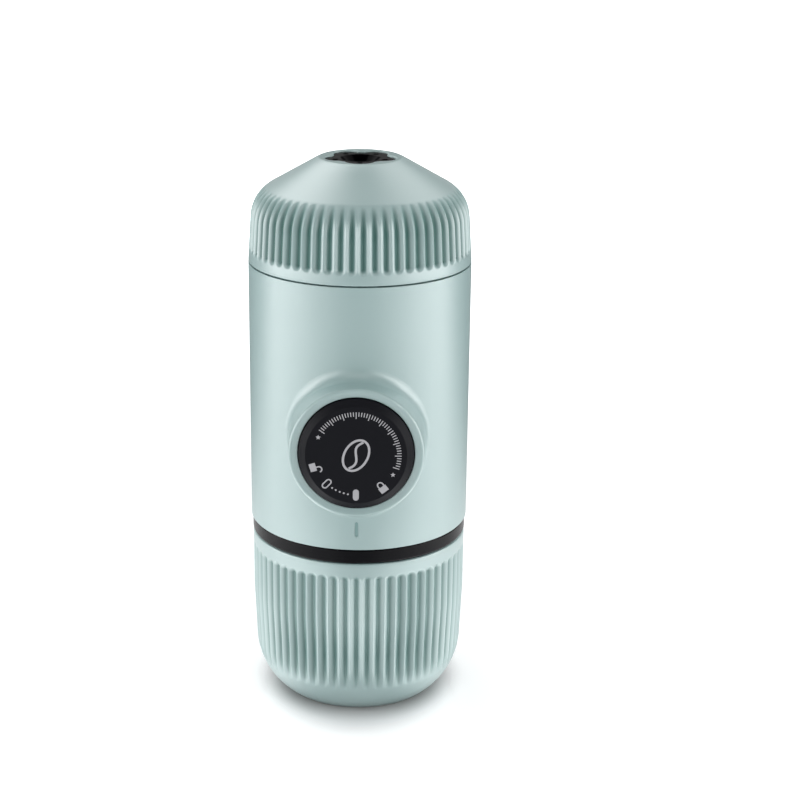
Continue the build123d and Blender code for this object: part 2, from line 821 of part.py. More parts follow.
with BuildPart() as filter_basket:
    ring(0, basket_out, basket_rim, basket_top)
    top_edge = filter_basket.edges().filter_by(GeomType.CIRCLE).group_by(Axis.Z)[-1]
    fillet(top_edge, radius=basket_round)
    offset(amount=-basket_wall, openings=filter_basket.faces().sort_by(Axis.Z)[0])
    ring(basket_out - basket_wall / 2, head_bore - slip, basket_rim, basket_rim + basket_wall)
    with BuildSketch(Plane.XY.offset(basket_top - basket_wall - past)):
        Circle(basket_hole_r)
        for row in range(basket_rings):
            with PolarLocations(basket_ring_r + row * basket_ring_gap, (row + 1) * basket_ring_holes):
                Circle(basket_hole_r)
    extrude(amount=basket_wall + 2 * past, mode=Mode.SUBTRACT)

filter_basket.part.label = "filter_basket"
export_step(filter_basket.part, "parts/filter_basket.step")

scoop_base = 124.3
scoop_rim = 138.4
scoop_rim_r = 18.9
scoop_base_r = 17.4
scoop_wall = 1.3
scoop_round = 2.0
scoop_bead_half = 0.6
scoop_bead_h = 1.2

with BuildPart() as coffee_scoop:
    with BuildSketch(Plane.XZ):
        with BuildLine():
            Polyline(
                (0, scoop_base),
                (scoop_base_r, scoop_base),
                (scoop_rim_r, scoop_rim),
                (0, scoop_rim),
                close=True,
            )
        make_face()
    revolve(axis=Axis.Z)
    bottom_edge = coffee_scoop.edges().filter_by(GeomType.CIRCLE).group_by(Axis.Z)[0]
    fillet(bottom_edge, radius=scoop_round)
    offset(amount=-scoop_wall, openings=coffee_scoop.faces().sort_by(Axis.Z)[-1])
    bead_in = scoop_rim_r - scoop_bead_half
    bead_out = scoop_rim_r + scoop_bead_half
    ring(bead_in, bead_out, scoop_rim - scoop_bead_h, scoop_rim)

coffee_scoop.part.label = "coffee_scoop"
export_step(coffee_scoop.part, "parts/coffee_scoop.step")

# ------------------------------------------------------------------------- portafilter
# A black cup that screws on the brew head, presses the basket down and gathers the
# coffee into one outlet. The ribbed dome is a coloured shell snapped over it.
dome_base = seam + seam_gap
dome_bore = 28.2
dome_step = 141.6
skirt_bore = neck_out + 0.4
skirt_step = head_top + 0.4
chamber_roof = basket_top + 0.9
chamber_r = 19.0
chamber_edge_z = 142.2  # the coffee chamber's roof rises from here to its middle
chamber_middle_z = 144.8
outlet_r = 2.0
outlet_top = 150.4
spout_r = 5.2
spout_root_r = 6.4
hub_r_outer = 9.6
hub_z = 148.0
roof_edge_r = 25.0  # the roof's outside: a bevel at its edge, then a cone up to the hub
roof_edge_z = 143.6
roof_bevel_r = 27.0

with BuildPart() as portafilter_body:
    with BuildSketch(Plane.XZ):
        with BuildLine():
            Polyline(
                (skirt_bore, dome_base),
                (dome_bore - fit, dome_base),
                (dome_bore - fit, dome_step),
                (roof_bevel_r, dome_step),
                (roof_edge_r, roof_edge_z),
                (hub_r_outer, hub_z),
                (spout_root_r, hub_z),
                (spout_r, outlet_top),
                (outlet_r, outlet_top),
                (outlet_r, chamber_middle_z),
                (chamber_r, chamber_edge_z),
                (chamber_r, chamber_roof),
                (head_bore, chamber_roof),
                (head_bore, skirt_step),
                (skirt_bore, skirt_step),
                close=True,
            )
        make_face()
    revolve(axis=Axis.Z)

portafilter_body.part.label = "portafilter_body"
export_step(portafilter_body.part, "parts/portafilter_body.step")

basket_gasket_w = 2.2

with BuildPart() as basket_gasket:
    gasket_r = chamber_r + loose
    ring(gasket_r, gasket_r + basket_gasket_w, basket_top + fit, chamber_roof)

basket_gasket.part.label = "basket_gasket"
export_step(basket_gasket.part, "parts/basket_gasket.step")

shoulder_z = 140.0
shoulder_wall_r = 30.2
shoulder_r = 10.2
dome_slope = 28.0
slope_drift = 3.0  # the wall leans in by about this, so the shoulder turns that much less
lip_r = 11.6
mouth_r = 10.2
mouth_wall = 2.0
mouth_depth = 5.4
mouth_web = 1.6
lobe_count = 5
lobe_hub_r = 8.0
lobe_ring_r = 5.95
lobe_r = 3.95
lobe_start = -90  # one lobe points to the button's side
lobe_gap = 0.15
inner_lip_drop = 2.5  # the shell's inside: from the mouth's wall down a cone to a bevel
inner_cone_r = 23.5
inner_cone_z = 147.4
inner_bevel_r = 27.0
inner_bevel_z = 143.5
step_r = 27.4
rib_low = 131.1
rib_depth = 1.1
run_out_bend = 13.2  # wider than the shoulder, so that the grooves fade out over it
run_out_turn = 55

with BuildPart() as dome_groove:
    with BuildSketch(Plane.XZ):
        with BuildLine():
            bend_start = (shoulder_wall_r - rib_depth, shoulder_z - past)
            floor = Line((body_r - rib_depth, rib_low), bend_start)
            bend = JernArc(floor @ 1, (0, 1), run_out_bend, run_out_turn)
            Polyline(bend @ 1, (body_r + past, (bend @ 1).Y), (body_r + past, rib_low), floor @ 0)
        make_face()
    extrude(amount=groove_w / 2, both=True)
    low_corners = dome_groove.edges().filter_by(Axis.X).group_by(Axis.Z)[0]
    fillet(low_corners, radius=groove_end_r)

with BuildPart() as dome_shell:
    with BuildSketch(Plane.XZ):
        with BuildLine():
            wall = Line((body_r, dome_base), (shoulder_wall_r, shoulder_z))
            shoulder = JernArc(wall @ 1, wall % 1, shoulder_r, 90 - dome_slope - slope_drift)
            slope = Line(shoulder @ 1, (lip_r, height))
            Polyline(
                slope @ 1,
                (lobe_hub_r, height),
                (lobe_hub_r, height - mouth_web),
                (mouth_r, height - mouth_web),
                (mouth_r, height - mouth_depth),
                (mouth_r + mouth_wall, height - mouth_depth),
                (mouth_r + mouth_wall, height - inner_lip_drop),
                (inner_cone_r, inner_cone_z),
                (inner_bevel_r, inner_bevel_z),
                (step_r, dome_step),
                (dome_bore, dome_step),
                (dome_bore, dome_base),
                wall @ 0,
            )
        make_face()
    revolve(axis=Axis.Z)
    with PolarLocations(0, dome_rib_count):
        add(dome_groove.part, mode=Mode.SUBTRACT)
    with BuildSketch(Plane.XY.offset(height - mouth_web - past)):
        with PolarLocations(lobe_ring_r, lobe_count, start_angle=lobe_start):
            Circle(lobe_r + lobe_gap)
    extrude(amount=mouth_web + 2 * past, mode=Mode.SUBTRACT)

dome_shell.part.label = "dome_shell"
export_step(dome_shell.part, "parts/dome_shell.step")

# The outlet's black tip stands in the middle of a five-lobed guard, which fills the
# lobes of the dome's mouth and dips towards the tip.
guard_foot_r = 6.6
guard_foot_w = 2.8
guard_base = outlet_top + loose
guard_top = height - 0.4
guard_eye_r = 3.6
guard_dish_r = 5.6
guard_dish = 1.6
lobe_hole_r = 0.9
lobe_hole_ring_r = 7.1
tip_r = 2.9
tip_top = height - 1.6
tip_mouth_r = 1.4
tip_end_r = 2.2
tip_taper = 1.6
tip_lap = 0.4  # the tip's bore starts this much narrower than the outlet

with BuildPart() as nozzle_guard:
    ring(guard_foot_r, guard_foot_r + guard_foot_w, hub_z, guard_base)
    with BuildSketch(Plane.XY.offset(guard_base)):
        Circle(lobe_hub_r - lobe_gap)
        with PolarLocations(lobe_ring_r, lobe_count, start_angle=lobe_start):
            Circle(lobe_r)
    extrude(amount=guard_top - guard_base)
    with BuildSketch(Plane.XZ):
        with BuildLine():
            Polyline(
                (0, guard_base),
                (guard_eye_r, guard_base),
                (guard_eye_r, guard_top - guard_dish),
                (guard_dish_r, guard_top),
                (0, guard_top),
                close=True,
            )
        make_face()
    revolve(axis=Axis.Z, mode=Mode.SUBTRACT)
    with BuildSketch(Plane.XY.offset(guard_base)):
        with PolarLocations(lobe_hole_ring_r, lobe_count, start_angle=lobe_start):
            Circle(lobe_hole_r)
    extrude(amount=guard_top - guard_base, mode=Mode.SUBTRACT)

nozzle_guard.part.label = "nozzle_guard"
export_step(nozzle_guard.part, "parts/nozzle_guard.step")

with BuildPart() as outlet_tip:
    with BuildSketch(Plane.XZ):
        with BuildLine():
            Polyline(
                (outlet_r - tip_lap, outlet_top),
                (tip_r, outlet_top),
                (tip_r, tip_top - tip_taper),
                (tip_end_r, tip_top),
                (tip_mouth_r, tip_top),
                close=True,
            )
        make_face()
    revolve(axis=Axis.Z)

outlet_tip.part.label = "outlet_tip"
export_step(outlet_tip.part, "parts/outlet_tip.step")
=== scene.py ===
import bpy
import numpy as np
from math import asin, atan2, cos, degrees, pi, radians, sin, sqrt
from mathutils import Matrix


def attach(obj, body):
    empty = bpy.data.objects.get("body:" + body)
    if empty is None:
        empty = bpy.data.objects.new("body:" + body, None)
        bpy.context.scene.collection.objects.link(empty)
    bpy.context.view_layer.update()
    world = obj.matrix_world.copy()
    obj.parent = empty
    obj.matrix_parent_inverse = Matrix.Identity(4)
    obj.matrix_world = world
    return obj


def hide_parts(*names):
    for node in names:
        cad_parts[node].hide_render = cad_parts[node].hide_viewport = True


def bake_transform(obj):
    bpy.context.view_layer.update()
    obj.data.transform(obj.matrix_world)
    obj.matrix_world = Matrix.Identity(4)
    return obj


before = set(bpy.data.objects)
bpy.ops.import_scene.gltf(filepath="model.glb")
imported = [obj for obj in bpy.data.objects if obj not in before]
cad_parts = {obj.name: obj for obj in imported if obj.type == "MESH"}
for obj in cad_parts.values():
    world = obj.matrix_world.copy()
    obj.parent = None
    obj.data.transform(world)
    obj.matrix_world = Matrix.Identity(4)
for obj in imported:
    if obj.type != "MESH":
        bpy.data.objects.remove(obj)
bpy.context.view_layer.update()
mm = 0.001

# ------------------------------------------------------------------ camera and studio
# The maker stands on a white table in a dim studio: a softbox on each side of it, two weak
# ones in front, one above and two behind. The camera looks down on it a little, from just
# beside the pump button's axis.
view_settings = bpy.context.scene.view_settings
view_settings.view_transform = "Standard"

camera_back = 502.45 * mm
camera_up = 252.8 * mm
camera_turn = radians(1.15)
camera_pitch = radians(18.37)
camera_roll = radians(0.26)
frame_px = 800
focal_px = 1858.4
axis_px = 359.3  # where the maker's axis crosses the middle of the frame
sensor = 36

spot = (camera_back * sin(camera_turn), -camera_back * cos(camera_turn), camera_up)
bpy.ops.object.camera_add(location=spot, rotation=(pi / 2 - camera_pitch, 0, camera_turn))
camera = bpy.context.object
camera.rotation_euler.rotate_axis("Z", camera_roll)
camera.data.sensor_width = sensor
camera.data.lens = sensor * focal_px / frame_px
camera.data.shift_x = (frame_px / 2 - axis_px) / frame_px
camera.data.clip_start = 10 * mm
bpy.context.scene.camera = camera


class Value:
    """A shader socket that takes part in plain sums: each operator adds one Math node."""

    def __init__(self, finish, socket):
        self.finish = finish
        self.socket = socket

    def sum(self, operation, first, second):
        return self.finish.add("ShaderNodeMath", {"operation": operation}, {0: first, 1: second})

    def __add__(self, other):
        return self.sum("ADD", self, other)

    def __sub__(self, other):
        return self.sum("SUBTRACT", self, other)

    def __rsub__(self, other):
        return self.sum("SUBTRACT", other, self)

    def __mul__(self, other):
        return self.sum("MULTIPLY", self, other)

    def __pow__(self, other):
        return self.sum("POWER", self, other)

    __radd__ = __add__
    __rmul__ = __mul__

    def above(self, edge, soft):
        """0 under the edge and 1 over it, over a step this soft to each side."""
        return self.finish.add(
            "ShaderNodeMapRange",
            {"interpolation_type": "SMOOTHSTEP"},
            {"Value": self, "From Min": edge - soft, "From Max": edge + soft},
        )


class Finish:
    """A node tree being built: a material's, or the world's."""

    def __init__(self, name, owner=None):
        self.material = owner or bpy.data.materials.new(name)
        self.material.use_nodes = True
        self.tree = self.material.node_tree
        self.tree.nodes.clear()

    def add(self, kind, settings=None, values=None, output=0):
        """Adds one node: its settings, then the values or links of its sockets."""
        node = self.tree.nodes.new(kind)
        for name, setting in (settings or {}).items():
            setattr(node, name, setting)
        for name, value in (values or {}).items():
            if isinstance(value, Value):
                self.tree.links.new(value.socket, node.inputs[name])
            else:
                node.inputs[name].default_value = value
        return Value(self, node.outputs[output]) if node.outputs else node

    def ray(self, kind):
        """1 for rays of this kind, and 0 for the others."""
        return self.add("ShaderNodeLightPath", output=kind)

    def place(self, kind="Object"):
        """The coordinates of a point, or the direction that a ray takes to the sky."""
        return self.add("ShaderNodeTexCoord", output=kind)

    def axis(self, number, kind="Object"):
        """One of those coordinates: 0, 1 or 2 for X, Y or Z."""
        return self.add("ShaderNodeSeparateXYZ", None, {"Vector": self.place(kind)}, number)

    def reach(self, stretch=(1, 1, 1)):
        """How far a point is from the origin, in a space stretched along its axes."""
        stretched = {0: self.place(), 1: stretch}
        place = self.add("ShaderNodeVectorMath", {"operation": "MULTIPLY"}, stretched)
        return self.add("ShaderNodeVectorMath", {"operation": "LENGTH"}, {0: place}, 1)

    def mix(self, factor, colour_a, colour_b):
        """A colour between two others."""
        inputs = {0: factor, 6: colour_a, 7: colour_b}
        return self.add("ShaderNodeMix", {"data_type": "RGBA"}, inputs, 2)

    def noise(self, size, detail=3, stretch=(1, 1, 1)):
        """Noise whose patches are about this size in metres, stretched along an axis."""
        where = self.add("ShaderNodeMapping", None, {"Vector": self.place(), "Scale": stretch})
        inputs = {"Vector": where, "Scale": 1 / size, "Detail": detail}
        return self.add("ShaderNodeTexNoise", None, inputs)


def rgb(red, green, blue):
    """A colour given as it looks on a screen, 0 to 255, as the linear one that shaders use."""
    shares = [c / 255 for c in (red, green, blue)]
    linear = [((c + 0.055) / 1.055) ** 2.4 if c > 0.04045 else c / 12.92 for c in shares]
    return (*linear, 1)


sky_light = 0.24
room_light = 0.05  # what a gloss mirrors of the dark room
backdrop_light = 0.5  # and of the lit backdrop low behind the maker
sky = Finish("studio_sky", bpy.data.worlds.new("studio_sky"))
bpy.context.scene.world = sky.material
seen = sky.ray("Is Camera Ray")
either = {0: sky.ray("Is Glossy Ray"), 1: sky.ray("Is Transmission Ray")}
mirrored = sky.add("ShaderNodeMath", {"operation": "MAXIMUM"}, either)
looking_back = sky.axis(1, "Generated")
looking_up = sky.axis(2, "Generated")
backdrop = looking_back.above(0.25, 0.35) * (1 - looking_up.above(0.2, 0.15))
in_mirror = mirrored * (room_light + backdrop_light * backdrop)
strength = seen + in_mirror + sky_light * (1 - seen - mirrored)
light = sky.add("ShaderNodeBackground", None, {"Color": (1, 1, 1, 1), "Strength": strength})
sky.add("ShaderNodeOutputWorld", None, {"Surface": light})

table_size = 12
table_light = 0.42  # what the camera sees of the table's own white, beside the light on it
painted_table_glow = 0.75  # painted reflection: how bright the table glows for glossy rays, in place of the side lamps
painted_foot_glow = 2.0  # and more of it near the foot
table_white = rgb(240, 241, 242)
# painted shadow: the table's colour under the foot
painted_foot_shadow = rgb(172, 170, 170)
painted_back_shade = rgb(90, 92, 94)  # painted shade: glossy rays find the table darker behind the maker
shadow_squeeze = (1.3, 1, 1)  # the foot's shadow is narrower across than along
bpy.ops.object.select_all(action="DESELECT")
bpy.ops.mesh.primitive_plane_add(size=table_size)
table = bpy.context.object
table.name = "table"
white = Finish("table_white")
facing_camera = white.ray("Is Camera Ray")
in_gloss = white.ray("Is Glossy Ray")

# Painted reflection: for glossy rays the table glows beside the maker, and not behind it, in place
# of the side lamps' light.
across = white.axis(0)
along = white.axis(1)
behind = along.above(130 * mm, 110 * mm)
in_front = (0 - along).above(110 * mm, 70 * mm)
beside = ((across * across) ** 0.5).above(32 * mm, 20 * mm) * (1 - behind) * (1 - in_front)
from_foot = white.reach(shadow_squeeze)
near_foot = 1 - from_foot.above(125 * mm, 60 * mm)
beside_foot = beside * near_foot * (1 - along.above(-14 * mm, 14 * mm))
painted_glow = painted_table_glow * beside + painted_foot_glow * beside_foot

# The camera finds the table white, but for the soft shadow round the foot: the lamps' real shadow,
# shown where the table's own light is left out, and a painted shadow in its colour.
open_table = from_foot.above(34 * mm, 8 * mm)
far_off = from_foot.above(350 * mm, 250 * mm)
seen_light = table_light * open_table + far_off
# Painted shadow: the table's colour darkens under the foot.
table_with_painted_shadow = white.mix(white.reach().above(26 * mm, 6 * mm), painted_foot_shadow, table_white)
paint = white.add(
    "ShaderNodeBsdfPrincipled",
    None,
    {
        # painted shade in reflections: the table is darker behind the maker
        "Base Color": white.mix(in_gloss * behind, table_with_painted_shadow, painted_back_shade),
        "Roughness": 0.07 + 0.03 * white.noise(40 * mm),
        "Specular IOR Level": 0.5,
        "Emission Color": (1, 1, 1, 1),
        # painted light on the table, seen only in reflections
        "Emission Strength": facing_camera * seen_light + in_gloss * painted_glow,
    },
)
white.add("ShaderNodeOutputMaterial", None, {"Surface": paint})
table.data.materials.append(white.material)

lamp_aim = 100 * mm  # the lamps face this height


def softbox(name, turn, lift, away, width, height, power):
    """A soft lamp at this turn from the camera's side and this lift, facing the maker.

    The turn and lift are in degrees, the distance and sizes in metres.
    """
    turn, lift = radians(turn), radians(lift)
    ground = away * cos(lift)
    spot = (ground * sin(turn), -ground * cos(turn), lamp_aim + away * sin(lift))
    bpy.ops.object.light_add(type="AREA", location=spot, rotation=(pi / 2 - lift, 0, turn))
    lamp = bpy.context.object
    lamp.name = name
    lamp.data.shape = "RECTANGLE"
    lamp.data.size = width
    lamp.data.size_y = height
    lamp.data.energy = power


for side in (-1, 1):
    softbox("side_softbox", side * 77, 7, 0.75, 0.74, 0.38, 2.9)
    softbox("front_softbox", side * 38, 12, 0.75, 0.4, 0.5, 0.88)
softbox("top_softbox", 0, 60, 1.1, 0.9, 0.7, 1.6)
softbox("back_left_softbox", -140, 50, 0.9, 0.6, 0.6, 2.8)
softbox("back_right_softbox", 140, 50, 0.9, 0.6, 0.6, 1.8)

# ------------------------------------------------------------------------ drinking cup
# A thick-walled cup in satin coloured plastic, moulded in one piece. Its wall carries
# upright grip ribs, which run out where the foot rounds under.
mint = (150, 178, 177)
groove_shade_mint = (34, 96, 88)  # painted shade for a groove's floor, where the light has bounced about
scuff_top = 2.2 * mm  # the foot is scuffed up to this height
scuff_white = 200
scuff_share = 0.12
cloud_gloss = 0.07  # how much the roughness changes with the colour's clouds
grain_gloss = 0.10  # and with the fine grain


def tinted(colour, share):
    """This colour, this many times as bright."""
    return rgb(*(min(255, c * share) for c in colour))


def moulded(name, colour, roughness, grain, specular=0.5, worn=None, coat_ior=None, deep=(0, 0, 0)):
    """Moulded plastic or rubber: clouded colour, fine spark-eroded grain, uneven gloss, wear.

    Its shine can be a coat, which thins out where the attribute groove_shade says how deep in a
    groove a point is. The colour turns to the deep one there: painted shade in the grooves.
    """
    finish = Finish(name)
    clouds = finish.noise(18 * mm, 4)
    fine = finish.noise(0.2 * mm, 2)
    shade = finish.mix(clouds, tinted(colour, 0.985), tinted(colour, 1.015))
    gloss = roughness + cloud_gloss * (clouds - 0.5) + grain_gloss * (fine - 0.5)
    # Painted shade: the colour turns towards deep where the groove_shade attribute is high.
    groove_shade = finish.add("ShaderNodeAttribute", {"attribute_name": "groove_shade"}, None, 2)
    shade = finish.mix(groove_shade, shade, rgb(*deep))
    if worn:
        mask = worn(finish)
        scuffed = rgb(*(c + (scuff_white - c) * scuff_share for c in colour))
        shade = finish.mix(mask, shade, scuffed)
        gloss = gloss + scuff_share * mask
    bumps = finish.add("ShaderNodeBump", None, {"Height": fine, "Distance": grain, "Strength": 1.0})
    surface = finish.add(
        "ShaderNodeBsdfPrincipled",
        None,
        {
            "Base Color": shade,
            "Roughness": gloss,
            "Specular IOR Level": specular,
            "Coat Weight": 1 - groove_shade if coat_ior else 0.0,
            "Coat IOR": coat_ior or 1.5,
            "Coat Roughness": 0.40,
            "Normal": bumps,
        },
    )
    finish.add("ShaderNodeOutputMaterial", None, {"Surface": surface})
    return finish.material


def foot_wear(finish):
    """Patchy scuffs that fade out just above the table."""
    near_table = 1 - finish.axis(2).above(scuff_top, 1.5 * mm)
    return near_table * finish.noise(1.5 * mm, 5).above(0.52, 0.1)


def arc(centre_r, centre_z, radius, start, end, steps):
    """Points of a section along an arc, from one angle in degrees to another."""
    turns = [radians(start + (end - start) * k / steps) for k in range(steps + 1)]
    return [(centre_r + radius * cos(t), centre_z + radius * sin(t)) for t in turns]


def rows(start, end, spacing):
    """Heights from one to the other, about this far apart, both ends included."""
    count = max(1, round(abs(end - start) / spacing))
    return [start + (end - start) * k / count for k in range(count + 1)]


def turned(name, section, steps, angle):
    """Draws a half section point by point, spins it about the axis and leaves it in edit mode."""
    bpy.ops.object.select_all(action="DESELECT")
    bpy.ops.mesh.primitive_plane_add(size=mm)
    piece = bpy.context.object
    piece.name = name
    bpy.ops.object.mode_set(mode="EDIT")
    bpy.ops.mesh.merge(type="CENTER")
    last_r, last_z = 0, 0
    for count, (r, z) in enumerate(section):
        step = ((r - last_r) * mm, 0, (z - last_z) * mm)
        if count:
            bpy.ops.mesh.extrude_region_move(TRANSFORM_OT_translate={"value": step})
        else:
            bpy.ops.transform.translate(value=step)
        last_r, last_z = r, z
    bpy.ops.mesh.select_all(action="SELECT")
    bpy.ops.mesh.spin(steps=steps, angle=angle, center=(0, 0, 0), axis=(0, 0, 1))
    return piece


weld = 0.002 * mm  # points closer than this are one


def close_up(smooth=40):
    """Merges what meets, turns the faces outwards and leaves edit mode with smooth shading."""
    bpy.ops.mesh.select_all(action="SELECT")
    bpy.ops.mesh.remove_doubles(threshold=weld)
    bpy.ops.mesh.normals_make_consistent(inside=False)
    bpy.ops.object.mode_set(mode="OBJECT")
    bpy.ops.object.shade_smooth_by_angle(angle=radians(smooth))


def polar(piece):
    """A piece's points as radius, angle and height, in millimetres and radians."""
    spots = np.empty(len(piece.data.vertices) * 3)
    piece.data.vertices.foreach_get("co", spots)
    x, y, z = spots.reshape(-1, 3).T / mm
    return np.hypot(x, y), np.arctan2(y, x), z


def put_back(piece, r, turn, z):
    """Writes points given by radius, angle and height back to a piece."""
    spots = np.stack([r * np.cos(turn), r * np.sin(turn), z], axis=1) * mm
    piece.data.vertices.foreach_set("co", spots.ravel())
    piece.data.update()


ridge_round = 0.06  # these three are shares of a crest's half width
wall_start = 0.62
wall_end = 1.45
rib_columns = 20
skin_depth = 0.6  # points this close to the skin's radius are on the skin
shade_power = 1.2  # the painted shade on a groove's floor grows a little later than the floor deepens


def groove_shape(across, crest, roof_share):
    """How deep a groove is, 1 on its floor (across = 0) and 0 on the crest (across = 1).

    A crest of this half width falls off like a roof with a round ridge, down to this share
    of the depth, and then steeper.
    """
    out = (1 - across) / crest
    roof = (np.hypot(out, ridge_round) - ridge_round) / (1 - ridge_round)
    wall = np.clip((out - wall_start) / (wall_end - wall_start), 0, 1)
    return roof_share * np.minimum(roof, 1) + (1 - roof_share) * wall**2 * (3 - 2 * wall)


def fluted(name, section, count, crest, roof_share, outer_r, floor_r, round_end, downwards, shade_share):
    """Turns one rib's share of a section, presses a round groove in it and repeats it all round.

    The groove is as deep as outer_r stands over floor_r, and one end of it is rounded. An
    attribute holds the painted shade of its floor, up to this share.
    """
    pitch = 2 * pi / count
    piece = turned(name, section, rib_columns, pitch)
    bpy.ops.object.mode_set(mode="OBJECT")
    r, turn, z = polar(piece)
    turn = np.abs(turn)
    half = r.max() * pitch / 2
    across = np.abs(turn - pitch / 2) / (pitch / 2)
    beyond = np.maximum(0, round_end + half - z if downwards else z - round_end + half) / half
    away = np.minimum(np.hypot(across, beyond), 1)
    depth = np.maximum(0, outer_r(z) - floor_r(z))
    on_skin = np.abs(r - outer_r(z)) < skin_depth
    sunk = np.where(on_skin, depth * groove_shape(away, crest, roof_share), 0)
    put_back(piece, r - sunk, turn - pitch / 2, z)
    # Painted shade: a groove's floor is given a darker colour, the deeper it lies.
    painted_groove_shade = shade_share * (sunk / sunk.max()) ** shade_power
    groove_shade = piece.data.attributes.new("groove_shade", "FLOAT", "POINT")
    groove_shade.data.foreach_set("value", painted_groove_shade.astype(np.float32))
    bpy.ops.object.mode_set(mode="EDIT")
    bpy.ops.mesh.select_all(action="SELECT")
    all_round = pitch * (count - 1)
    bpy.ops.mesh.spin(
        steps=count - 1, dupli=True, angle=all_round, center=(0, 0, 0), axis=(0, 0, 1)
    )
    close_up()
    return piece


cup_ribs = 60
cup_r = 30.5
cup_wall = 2.2
cup_floor = 2.5
cup_top = 48.25
draft_z = 30  # the wall is upright above this height
corner_r = 19.3  # the foot's rounded corner, and where its centre lies
corner_x = 10.55
corner_z = 15.5
foot_mid = 12  # a point on the way out over the flat foot
rib_low = 8.8
rib_full = 19.5  # the grooves have their full depth from here up
rib_high = 44.6
rib_depth = 1.1
rim_round = 0.5


def cup_outer(z):
    """The radius of the cup's skin at this height."""
    corner = corner_x + np.sqrt(np.maximum(0, corner_r**2 - (corner_z - z) ** 2))
    lean = (cup_r - corner_x - corner_r) * (z - corner_z) / (draft_z - corner_z)
    wall = corner_x + corner_r + lean
    return np.where(z < corner_z, corner, np.minimum(wall, cup_r))


def cup_groove_floor(z):
    """The radius of a groove's floor: nearly upright, it comes out of the rounded foot."""
    run_out_r = corner_x + sqrt(corner_r**2 - (corner_z - rib_low) ** 2)
    full_r = corner_x + corner_r - rib_depth
    heights = (0, rib_low, rib_full, draft_z)
    return np.interp(z, heights, (cup_r, run_out_r, full_r, cup_r - rib_depth))


foot_angle = degrees(asin(-corner_z / corner_r))
low_angle = degrees(asin((rib_low - corner_z) / corner_r))
bowl_r = corner_r - cup_wall
bowl_angle = degrees(asin((cup_floor - corner_z) / bowl_r))
fine_from = rib_high - 2.4  # the grooves' round ends need rows close together
fine_to = rib_high + 0.2
wall_heights = rows(corner_z, draft_z, 3.6)[1:]
wall_heights += rows(draft_z, fine_from, 4.0)[1:]
wall_heights += rows(fine_from, fine_to, 0.2)[1:]
wall_heights += rows(fine_to, cup_top - rim_round, 1.0)[1:]
cup_section = [(0, 0), (foot_mid, 0)]
cup_section += arc(corner_x, corner_z, corner_r, foot_angle, low_angle, 8)
cup_section += arc(corner_x, corner_z, corner_r, low_angle, 0, 18)[1:]
cup_section += [(float(cup_outer(z)), z) for z in wall_heights]
cup_section += arc(cup_r - rim_round, cup_top - rim_round, rim_round, 0, 90, 4)[1:]
cup_section += arc(cup_r - cup_wall + rim_round, cup_top - rim_round, rim_round, 90, 180, 4)
cup_section += [(cup_r - cup_wall, draft_z)]
cup_section += arc(corner_x, corner_z, bowl_r, 0, bowl_angle, 9)
cup_section += [(foot_mid, cup_floor), (0, cup_floor)]

satin_mint = moulded(
    "satin_mint", mint, 0.45, 0.002 * mm, worn=foot_wear, coat_ior=2.2, deep=groove_shade_mint
)
cup = fluted(
    "ribbed_cup",
    cup_section,
    cup_ribs,
    crest=0.82,
    roof_share=0.75,
    outer_r=cup_outer,
    floor_r=cup_groove_floor,
    round_end=rib_high,
    downwards=False,
    shade_share=0.76,
)
cup.data.materials.append(satin_mint)
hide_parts("cup")
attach(cup, "drinking_cup")

# -------------------------------------------------------------------------- water tank
# A black bowl that hangs inside the cup. Its collar shows as the dark band, and its
# neck screws up into the chassis against a flat gasket.
tank_black = moulded("tank_black", (8, 8, 12), 0.26, 0.0008 * mm, specular=0.12)
rubber = moulded("black_rubber", (30, 30, 31), 0.66, 0.010 * mm, specular=0.3)
tank_neck_r = 26.6
thread_root = 0.7  # half the ridge's height at the neck, and at its crest
thread_crest = 0.25
thread_bite = 0.3  # the ridge starts this far inside the neck


def dress(finish, *nodes):
    """Gives these pieces of the frame a finish."""
    for node in nodes:
        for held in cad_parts[node].material_slots:
            held.material = finish


def wind(piece, turns, rise, steps, smooth):
    """Winds a closed outline up the axis, with this many steps a turn, and fills its ends."""
    bpy.ops.object.modifier_add(type="SCREW")
    winding = piece.modifiers[-1]
    winding.angle = 2 * pi * turns
    winding.screw_offset = rise * mm
    winding.steps = winding.render_steps = round(steps * turns)
    winding.use_merge_vertices = False
    bpy.ops.object.modifier_apply(modifier=winding.name)
    bpy.ops.object.mode_set(mode="EDIT")
    bpy.ops.mesh.select_all(action="DESELECT")
    bpy.ops.mesh.select_mode(type="VERT")
    bpy.ops.mesh.select_non_manifold(extend=False)
    bpy.ops.mesh.fill_holes(sides=0)
    close_up(smooth)


def thread(name, neck_r, height, low, high, turns, finish, body):
    """A shallow screw thread: one ridge of this height wound up a neck, its ends closed."""
    bpy.ops.object.select_all(action="DESELECT")
    bpy.ops.mesh.primitive_plane_add(size=mm)
    ridge = bpy.context.object
    ridge.name = name
    corners = [
        (neck_r - thread_bite, low - thread_root),
        (neck_r + height, low - thread_crest),
        (neck_r - thread_bite, low + thread_root),
        (neck_r + height, low + thread_crest),
    ]
    for vertex, (r, z) in zip(ridge.data.vertices, corners):
        vertex.co = (r * mm, 0, z * mm)
    wind(ridge, turns, high - low, steps=72, smooth=25)
    ridge.data.materials.append(finish)
    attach(ridge, body)


dress(tank_black, "water_tank")
dress(rubber, "cup_seal", "tank_gasket")
thread(
    "tank_thread",
    tank_neck_r,
    height=0.28,
    low=54.4,
    high=58.4,
    turns=1.6,
    finish=tank_black,
    body="tank",
)

# ------------------------------------------------------------------------- body casing
# The coloured tube round the works, moulded in one with the button's boss. A short mark
# under the boss, with painted shade on its floor, shows where the button locks.
mark_z = 58.85
mark_half_w = 0.4
mark_half_h = 2.1
mark_floor = -30.8
